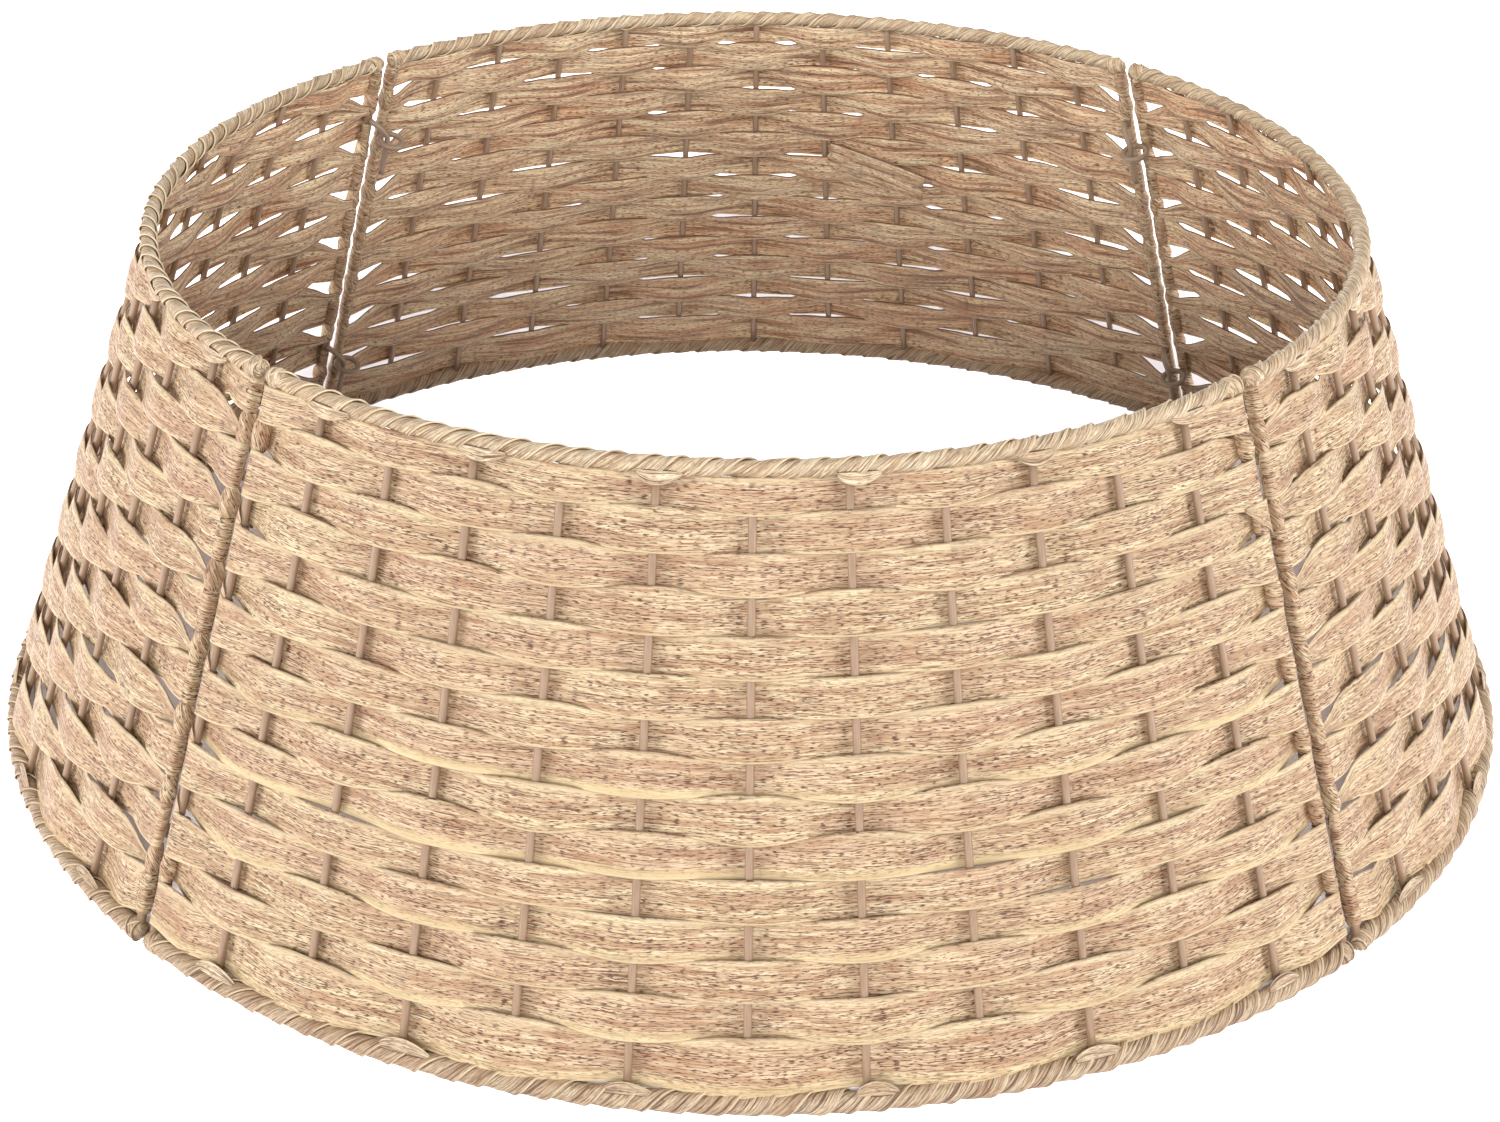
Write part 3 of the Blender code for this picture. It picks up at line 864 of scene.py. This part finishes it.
def strip_body(grid, across, offset, yellow, lip=LIP_THICKNESS, slots=(0, 1)):
    """A strip over this grid, its map running on from the offset."""
    middle = grid[:, grid.shape[1] // 2]
    run = np.concatenate([[0], np.cumsum(np.linalg.norm(np.diff(middle, axis=0), axis=1))])
    across = np.broadcast_to(across, grid.shape[:2])
    along = np.broadcast_to((run + offset)[:, None], across.shape)
    share = np.broadcast_to(np.linspace(0, 1, grid.shape[1])[None, :], across.shape)
    mark = (share, np.broadcast_to(np.asarray(yellow, float), across.shape))
    across = across + offset % MAP_BAND
    return thin_body(grid, along, across, mark, STRIP_THICKNESS, lip, slots)


def row_strip(weave, row):
    """One row with its ends turned round the stiles."""
    grid, along, across = row_grid(weave, row)
    odd = row % 2 == 1
    pieces = [grid]
    maps = [across]
    for end in (-1, 1):
        edge = along[0] if end < 0 else along[-1]
        upper, lower = edge[0], edge[-1]
        centre = (upper + lower) / 2
        if has_sleeve(weave.panel, row, end):
            continue
        if odd:
            angles = np.linspace(*ODD_TURN)
            tuck = smooth(0, -1, angles) * ODD_TUCK
            tops = centre + (upper - centre) * (1 - tuck)
            bottoms = centre + (lower - centre) * (1 - tuck)
            if row in EYE_ROWS.values():
                clear = EYE_BELOW_ROW - EYE_WIRE_DIAMETER / 2 - EYE_TO_STRIP / 2
                inside = smooth(0, EYE_CLEAR_FROM, angles)
                if end > 0:
                    bottoms = mix(bottoms, row_along(row) + clear, inside)
                else:
                    tops = mix(tops, row_along(row) - clear, inside)
        else:
            slant = BARREL_SLANTS[weave.panel][int(end > 0)]
            barrel = slant is not None or row in FOLDED_END_SLANTS
            angles = np.linspace(*BARREL_TURN if barrel else FLAP_TURN)
            share = np.linspace(0, 1, len(angles))
            power = BARREL_TAPER_POWER if barrel else FLAP_TAPER_POWER
            tops = upper + (lower - upper) * END_TAPER * share**power
            bottoms = np.full_like(angles, lower) + END_DROP * share
        wrap = wrap_grid(tops, bottoms, end, angles, TURN_RADIUS)
        own = (np.linspace(0, 1, ACROSS_STEPS) - 0.5) * STRIP_WIDTH
        own = np.broadcast_to(own, wrap.shape[:2])
        if end < 0:
            pieces.insert(0, wrap[::-1])
            maps.insert(0, own)
        else:
            pieces.append(wrap)
            maps.append(own)
    strong = row == ROWS or (row >= ROWS // 2 and not odd)
    yellow = weave.rng.uniform(*STRONG_YELLOWS if strong else WEAK_YELLOWS)
    yellow *= YELLOW_SHARES[weave.panel]
    offset = weave.rng.uniform(0, MAP_LENGTH)
    return strip_body(np.concatenate(pieces), np.concatenate(maps), offset, yellow)


def spindle_body(weave, centres, across, length, radii, slant, lobes):
    """A short twisted body through the centres, with these radii there.

    across is two directions across it. The strip's grain runs round it at the slant from
    its line, and the lobes turn with the grain.
    """
    rng = weave.rng
    share = SPINDLE_SHARES
    angle = np.linspace(0, 2 * math.pi, SPINDLE_SIDES + 1)
    mean = float(radii.max())
    twist = length * math.tan(slant) / mean
    phase = rng.uniform(0, 2 * math.pi)
    turned = angle[None, :] - twist * share[:, None] + phase
    minor = np.cos((2 * lobes + 1) * turned + MINOR_LOBE_TURN) * MINOR_LOBE_HEIGHT
    ridge = np.cos(lobes * turned) * LOBE_HEIGHT + minor
    size = radii[:, None] * (1 + ridge * bulge(share, 0.5)[:, None])
    size[:, -1] = size[:, 0]
    way = across[0] * np.cos(angle)[:, None] + across[1] * np.sin(angle)[:, None]
    ring = centres[:, None] + way * size[..., None]
    height = share[:, None] * length + 0 * angle[None, :]
    around = angle[None, :] * mean + 0 * share[:, None]
    start = rng.uniform(0, MAP_LENGTH)
    run = height * math.cos(slant) + around * math.sin(slant) + start
    cut = around * math.cos(slant) - height * math.sin(slant) + start % MAP_BAND
    index = np.arange(size.size).reshape(size.shape)
    points = np.concatenate([ring.reshape(-1, 3), centres[:1], centres[-1:]])
    maps = np.zeros((len(points), 4))
    maps[:-2, 0] = run.reshape(-1)
    maps[:-2, 1] = cut.reshape(-1)
    maps[-2:, :2] = maps[0, :2]
    maps[:, 2] = 0.5
    low, high = index[0], index[-1]
    tip = np.full(SPINDLE_SIDES, len(points) - 2)
    start_cap = np.stack([low[:-1], tip, tip, low[1:]], -1)
    end_cap = np.stack([high[:-1], high[1:], tip + 1, tip + 1], -1)
    quads = np.concatenate([side_quads(index[:, :-1], index[:, 1:]), start_cap, end_cap])
    quads = facing_out(points, quads)
    weld = np.arange(len(points))
    weld[index[:, -1]] = index[:, 0]
    slots = np.zeros(len(quads), int)
    return {"points": points, "quads": quads, "maps": maps, "slots": slots, "weld": weld}


def stile_spindle(weave, start, length, end, radii, slant, lobes):
    """A spindle round the stile, from this far down the slope."""
    centres = stile_point(start + SPINDLE_SHARES * length, end)
    across = (-wall_normal(end * HALF_PANEL), sideways(end * HALF_PANEL) * end)
    return spindle_body(weave, centres, across, length, radii, -end * slant, lobes)


def twist_body(weave, row, end, slant):
    """The strip where it is twisted into a short barrel round the stile, between two rows."""
    length = 2 * (ROW_PITCH - ODD_END_HALF_WIDTH) + BARREL_LAP
    thick = weave.rng.uniform(*BARREL_THICKNESSES) * math.cos(slant) ** BARREL_SLANT_POWER
    radii = STILE_DIAMETER / 2 + BARREL_RISE + thick * bulge(SPINDLE_SHARES, 0.6)
    return stile_spindle(weave, row_along(row) - length / 2, length, end, radii, slant, 2)


def sleeve_body(weave, row, end):
    """The end of an odd row, wound crosswise round the stile."""
    length = 2 * ODD_END_HALF_WIDTH - SLEEVE_SHORT
    start = max(row_along(row) - length / 2, FIRST_EDGE)
    length = row_along(row) + length / 2 - start
    rise = SLEEVE_RISE + weave.rng.uniform(0, SLEEVE_RISE)
    radii = TURN_RADIUS + rise * bulge(SPINDLE_SHARES, 0.3)
    return stile_spindle(weave, start, length, end, radii, SLEEVE_SLANT, 1)


def patch_body(weave, corners):
    """A flat bit of strip from its upper and lower corner at one end to those at the other."""
    steps, columns = PATCH_STEPS
    share = np.linspace(0, 1, steps)[:, None, None]
    across = np.linspace(0, 1, columns)[None, :, None]
    one, two, three, four = np.array(corners)[:, None, None, :]
    place = mix(mix(one, two, across), mix(three, four, across), share)
    grid = wall_point(row_along(place[..., 0]), place[..., 1] * UPRIGHT_PITCH, place[..., 2])
    own = (across[..., 0] - 0.5) * STRIP_WIDTH
    return strip_body(grid, own, weave.rng.uniform(0, MAP_LENGTH), 0.0)


def leave_room(shape):
    """Squeezes what lies close to a corner back from it, so that two panels can fold there."""
    points = shape["points"]
    for end in (-1, 1):
        corner = end * HALF_PANEL
        inward = -end * sideways(corner)
        lift = (points - wall_point(0.0, corner)) @ wall_normal(corner)
        need = (lift + EYE_DEPTH) * math.tan(FOLD / 2) + FOLD_ROOM
        aside = points @ inward
        depth = np.maximum(ROOM_FROM - need, LEAST_ROOM)
        over = np.maximum(ROOM_FROM - aside, 0)
        points = points + (over - depth * (1 - np.exp(-over / depth)))[:, None] * inward
    return {**shape, "points": points}


def band_shapes(weave, first, last):
    shapes = []
    for row in range(first, last + 1):
        shapes.append(row_strip(weave, row))
        shapes += [sleeve_body(weave, row, end) for end in (-1, 1) if has_sleeve(weave.panel, row, end)]
        if row % 2 == 0:
            for end, slant in zip((-1, 1), BARREL_SLANTS[weave.panel]):
                if slant is None:
                    slant = FOLDED_END_SLANTS.get(row)
                if slant is not None:
                    shapes.append(twist_body(weave, row, end, math.radians(slant)))
    shapes += [patch_body(weave, corners) for corners in PATCHES.get((weave.panel, first), ())]
    return [leave_room(shape) for shape in shapes]


# The wound rims.


def winding_bodies(weave, rim, along, diameter):
    """Strips wound slantwise round a rail, each turn lapping over the one beside it."""
    rng = weave.rng
    clearance = STILE_DIAMETER / 2 + GAP
    rail_radius = float(wall_radius(along))
    reach = float(stile_azimuth(along)) + clearance / rail_radius * 0.5
    length = 2 * reach * rail_radius
    turns = round(length / WINDING_PITCHES[rim])
    pitch = length / turns
    starts = WINDING_STARTS[rim]
    theta = np.linspace(-1, turns, (turns + 1) * WINDING_STEPS + 1)
    share = np.linspace(0, 1, ACROSS_STEPS)
    bodies = []
    for start in range(starts):
        stray = wander(rng, 2 * turns + 4, WINDING_STRAY, 2 * theta + 2)
        widths = wander(rng, turns + 2, WINDING_WIDTH_WANDER, theta + 1)
        widths = pitch / starts * WINDING_LAP + widths
        first = (theta + start / starts) * pitch + stray
        place = np.clip(first[:, None] + widths[:, None] * share[None, :], 0, length)
        azimuth = (place / length * 2 - 1) * reach
        angle = 2 * math.pi * theta[:, None] + 0 * place
        inner = diameter / 2 - WINDING_RISE - STRIP_THICKNESS
        radius = inner + WINDING_RISE * share[None, :] ** 1.5 + 0 * place
        ripple = [wander(rng, 3 * turns + 6, RIPPLE, 3 * theta + 3) for _ in share]
        radius = radius + np.stack(ripple, 1)
        way = outward(azimuth) * np.cos(angle)[..., None] + UP * np.sin(angle)[..., None]
        grid = wall_point(along, azimuth) + way * radius[..., None]
        grid[..., 2] = np.maximum(grid[..., 2], STRIP_THICKNESS)
        kept = place[:, -1] - place[:, 0] > LEAST_WINDING_WIDTH
        own = (share - 0.5)[None, :] * STRIP_WIDTH
        bodies.append(strip_body(grid[kept], own, rng.uniform(0, MAP_LENGTH), 0.0))
    return bodies


def swag_body(weave, along, diameter, up, place):
    """A turn of the rim's strip that hangs away from the rim where it passes an upright."""
    rng = weave.rng
    half_span = SWAG_HALF_SPAN + rng.uniform(*SWAG_SPAN_CHANGE)
    drop = SWAG_DROP + rng.uniform(*SWAG_DROP_CHANGE)
    steps, columns = SWAG_STEPS
    share = np.linspace(0, 1, steps)
    across = np.linspace(0, 1, columns)
    radius = float(wall_radius(along))
    middle = place * UPRIGHT_PITCH * radius + rng.uniform(*SWAG_STRAY)
    way = middle + (2 * share - 0.9) * half_span
    edge = diameter / 2 - SWAG_TUCK
    low = edge + (drop + SWAG_TUCK) * bulge(share**0.85, 0.8)
    reach = edge - SWAG_TUCK + (low - edge + SWAG_TUCK)[:, None] * across[None, :]
    azimuth = (way[:, None] + 0 * reach) / radius
    lift = diameter / 2 * SWAG_LIFT_SHARE - SWAG_TILT * across[None, :]
    lift = lift + SWAG_TILT * bulge(share, 1)[:, None]
    grid = wall_point(along + up * reach, azimuth, lift)
    grid[..., 2] = np.maximum(grid[..., 2], STRIP_THICKNESS)
    own = across[None, :] * STRIP_WIDTH / 5
    return strip_body(grid[::up], own, rng.uniform(0, MAP_LENGTH), 0.0, SWAG_LIP, (0, 0))


def knot_body(weave, along, end, up):
    """The rim's winding where it is knotted off over the end of a rail."""
    axis = sideways(end * HALF_PANEL) * end
    across = (outward(end * HALF_PANEL), UP)
    reach = KNOT_REACH - KNOT_LENGTH * SPINDLE_SHARES[:, None]
    centres = stile_point(along, end) + axis * reach
    radii = KNOT_RADII[up] * bulge(np.clip(SPINDLE_SHARES, 0.02, 0.98), 0.35)
    knot = spindle_body(weave, centres, across, KNOT_LENGTH, radii, end * KNOT_SLANT, 2)
    knot["points"][:, 2] = np.maximum(knot["points"][:, 2], 0)
    return knot


def nub_body(weave, end):
    """The twisted end of the strip that stands up over the end of a top rail."""
    axis = UP * 0.97 + sideways(end * HALF_PANEL) * end * 0.24
    level = outward(end * HALF_PANEL)
    foot = stile_point(0.0, end) - axis * NUB_SUNK
    centres = foot + axis * NUB_LENGTH * SPINDLE_SHARES[:, None]
    taper = NUB_RADIUS * (1 - NUB_TAPER * SPINDLE_SHARES)
    radii = taper * bulge(np.clip(SPINDLE_SHARES, 0.03, 0.97), 0.3)
    across = (level, np.cross(axis, level))
    return spindle_body(weave, centres, across, NUB_LENGTH, radii, end * NUB_SLANT, 3)


# Wires and hinges.


def frame_shapes():
    shapes = []
    for along in (0.0, SLOPE_LENGTH):
        reach = float(stile_azimuth(along))
        rail = wall_point(along, np.linspace(-reach, reach, RAIL_STEPS))
        shapes.append(tube_body(rail, RAIL_DIAMETER / 2, RAIL_SIDES))
    steps = np.linspace(0, SLOPE_LENGTH, WALL_STEPS)
    for end in (-1, 1):
        shapes.append(tube_body(stile_point(steps, end), STILE_DIAMETER / 2, WIRE_SIDES))
    for place in range(1 - STILE_PLACE, STILE_PLACE):
        line = wall_point(steps, place * UPRIGHT_PITCH)
        shapes.append(tube_body(line, UPRIGHT_DIAMETER / 2, WIRE_SIDES))
    return shapes


def eye_along(row):
    return row_along(row) + EYE_BELOW_ROW


def eye_shapes(row, angle):
    """A wire ring, or a hook where the angles leave a mouth towards the corner.

    The ring's ends lap where it is welded to the stile.
    """
    centre = stile_point(eye_along(row), 1, -EYE_DEPTH)
    aside = sideways(HALF_PANEL) * np.cos(angle)[:, None]
    level = aside - wall_normal(HALF_PANEL) * np.sin(angle)[:, None]
    return [tube_body(centre + level * EYE_RADIUS, EYE_WIRE_DIAMETER / 2, WIRE_SIDES)]


def pin_shapes(row):
    """A wire that leaves the left stile, bends into the eye's axis and hangs down through it."""
    along = eye_along(row)
    rise = 2 * EYE_BELOW_ROW
    normal = wall_normal(-HALF_PANEL)
    down = down_slope(-HALF_PANEL)
    root = stile_point(along - rise, -1, -STILE_DIAMETER / 2 - GAP)
    centre = seam_point(along, -SEAM_TO_PIN, -1, -EYE_DEPTH)
    top = centre - down * EYE_WIRE_DIAMETER / 2
    reach = rise * PIN_BEND_SHARE
    share = np.linspace(0, 1, BEND_STEPS)[:, None]
    rest = 1 - share
    leaving, arriving = root - normal * reach, top - down * reach
    bend = root * rest**3 + 3 * leaving * share * rest**2
    bend = bend + 3 * arriving * share**2 * rest + top * share**3
    share = np.linspace(PIN_TAIL_FROM, 1, TAIL_STEPS)[:, None]
    tail = top + (centre + down * PIN_BELOW_EYE - top) * share
    return [tube_body(np.concatenate([bend, tail]), PIN_DIAMETER / 2, WIRE_SIDES)]


# The pieces of each panel.


def add_piece(panel, part, shapes, materials, node):
    """One piece of a panel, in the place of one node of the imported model."""
    turn = math.radians(PANEL_AZIMUTHS[panel])
    piece = make_piece(f"{panel}_{part}", shapes, materials, turn)
    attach(piece, f"{panel}_panel")
    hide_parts(f"{panel}_{node}")


def build_panel(panel, seed, looks):
    weave = Weave(panel, seed)
    strips = [looks["outer_strip"], looks["brightened_inner_strip"]]
    for band, (first, last) in BAND_ROWS.items():
        shapes = band_shapes(weave, first, last)
        add_piece(panel, f"{band}_strips", shapes, strips, f"{band}_weave")
    rims = {"top": (0.0, TOP_WINDING_DIAMETER, 1), "bottom": (SLOPE_LENGTH, BOTTOM_WINDING_DIAMETER, -1)}
    for rim, (along, diameter, up) in rims.items():
        shapes = winding_bodies(weave, rim, along, diameter)
        shapes += [knot_body(weave, along, end, up) for end in (-1, 1)]
        if up > 0 and panel in NUB_ENDS:
            shapes.append(nub_body(weave, NUB_ENDS[panel]))
        odd_places = range(1 - STILE_PLACE, STILE_PLACE, 2)
        shapes += [swag_body(weave, along, diameter, up, place) for place in odd_places]
        strips = [looks[f"{rim}_strip"]] * 2
        add_piece(panel, f"{rim}_winding", shapes, strips, f"{rim}_rim_binding")
    add_piece(panel, "wires", frame_shapes(), [looks["wire"]], "wire_frame")
    hinge = [looks["hinge"]]
    for level, row in EYE_ROWS.items():
        angle = np.linspace(*HOOK_TURN if panel == OPEN_EYE_PANEL else RING_TURN)
        shapes = eye_shapes(row, angle)
        add_piece(panel, f"{level}_ring", shapes, hinge, f"{level}_eye")
        add_piece(panel, f"{level}_hook", pin_shapes(row), hinge, f"{level}_pin")


# Camera, light and floor.

CAMERA_LENS = 65.3
CAMERA_SENSOR = 36.0
CAMERA_DISTANCE = 1.3167
CAMERA_ELEVATION = math.radians(28.692)
CAMERA_TARGET = Vector((-0.00077, 0, 0.0467))
CAMERA_ROLL = math.radians(0.55)

# Lamps: place, side and power. All face the origin, and the last one lights the floor alone.
LAMPS = {
    "front": ((-0.5, -11.1, 4.3), 3.6, 640),
    "left": ((-3.4, -1.6, 0.9), 1.8, 90),
    "right": ((3.4, -1.6, 0.9), 1.8, 90),
    "back": ((0, 6.2, 1.0), 2.0, 90),
    "floor": ((0, -10.4, 5.9), 3.6, 6400),
}

# World and floor, each first for the light that falls on the piece and then for the eye.
WHITE = (1, 1, 1, 1)
WORLD_STRENGTHS = (0.6, 1.0)
FLOOR_COLOURS = ((0.10, 0.096, 0.092, 1), (1.03, 0.96, 0.98, 1))
FLOOR_HALF = 4.0


def make_camera():
    data = bpy.data.cameras.new("camera")
    data.lens = CAMERA_LENS
    data.sensor_width = CAMERA_SENSOR
    data.sensor_fit = "HORIZONTAL"
    camera = bpy.data.objects.new("camera", data)
    back = Vector((0, -math.cos(CAMERA_ELEVATION), math.sin(CAMERA_ELEVATION)))
    camera.location = CAMERA_TARGET + back * CAMERA_DISTANCE
    look = back.to_track_quat("Z", "Y").to_matrix()
    camera.rotation_euler = (look @ Matrix.Rotation(CAMERA_ROLL, 3, "Z")).to_euler()
    bpy.context.scene.collection.objects.link(camera)
    bpy.context.scene.camera = camera


def make_area(name, place, size, power, only):
    data = bpy.data.lights.new(name, "AREA")
    data.shape = "SQUARE"
    data.size = size
    data.energy = power
    lamp = bpy.data.objects.new(name, data)
    lamp.location = place
    lamp.rotation_euler = Vector(place).to_track_quat("Z", "Y").to_euler()
    lamp.light_linking.receiver_collection = only
    bpy.context.scene.collection.objects.link(lamp)


def make_world():
    world = bpy.data.worlds.new("world")
    bpy.context.scene.world = world
    world.use_nodes = True
    settings = [{"Strength": strength, "Color": WHITE} for strength in WORLD_STRENGTHS]
    seen_two_ways(world.node_tree, "ShaderNodeOutputWorld", "ShaderNodeBackground", settings)


def make_floor():
    """The floor, and the collection that holds it for the lamp that lights nothing else."""
    mesh = bpy.data.meshes.new("floor")
    corners = [(-1, -1), (1, -1), (1, 1), (-1, 1)]
    points = [(x * FLOOR_HALF, y * FLOOR_HALF, 0) for x, y in corners]
    mesh.from_pydata(points, [], [(0, 1, 2, 3)])
    floor = bpy.data.objects.new("floor", mesh)
    bpy.context.scene.collection.objects.link(floor)
    material = bpy.data.materials.new("floor")
    material.use_nodes = True
    settings = [{"Color": colour} for colour in FLOOR_COLOURS]
    seen_two_ways(material.node_tree, "ShaderNodeOutputMaterial", "ShaderNodeBsdfDiffuse", settings)
    mesh.materials.append(material)
    floor_only = bpy.data.collections.new("floor_only")
    floor_only.objects.link(floor)
    return floor_only


def build_scene():
    make_camera()
    make_world()
    floor_only = make_floor()
    for name, (place, size, power) in LAMPS.items():
        make_area(name, place, size, power, floor_only if name == "floor" else None)
    bpy.context.scene.view_settings.view_transform = "Standard"
    looks = {
        "outer_strip": strip_material("outer_strip", OUTER_LOOK),
        "brightened_inner_strip": strip_material("brightened_inner_strip", BRIGHTENED_INNER_LOOK),
        "top_strip": strip_material("top_rim_strip", RIM_LOOK),
        "bottom_strip": strip_material("shaded_bottom_rim_strip", SHADED_BOTTOM_RIM_LOOK),
        "wire": wire_material("wire", WIRE_TAN, WIRE_DARK),
        "hinge": wire_material("hinge", HINGE_BROWN, HINGE_DARK),
    }
    for seed, panel in enumerate(PANEL_AZIMUTHS, FIRST_SEED):
        build_panel(panel, seed, looks)


build_scene()
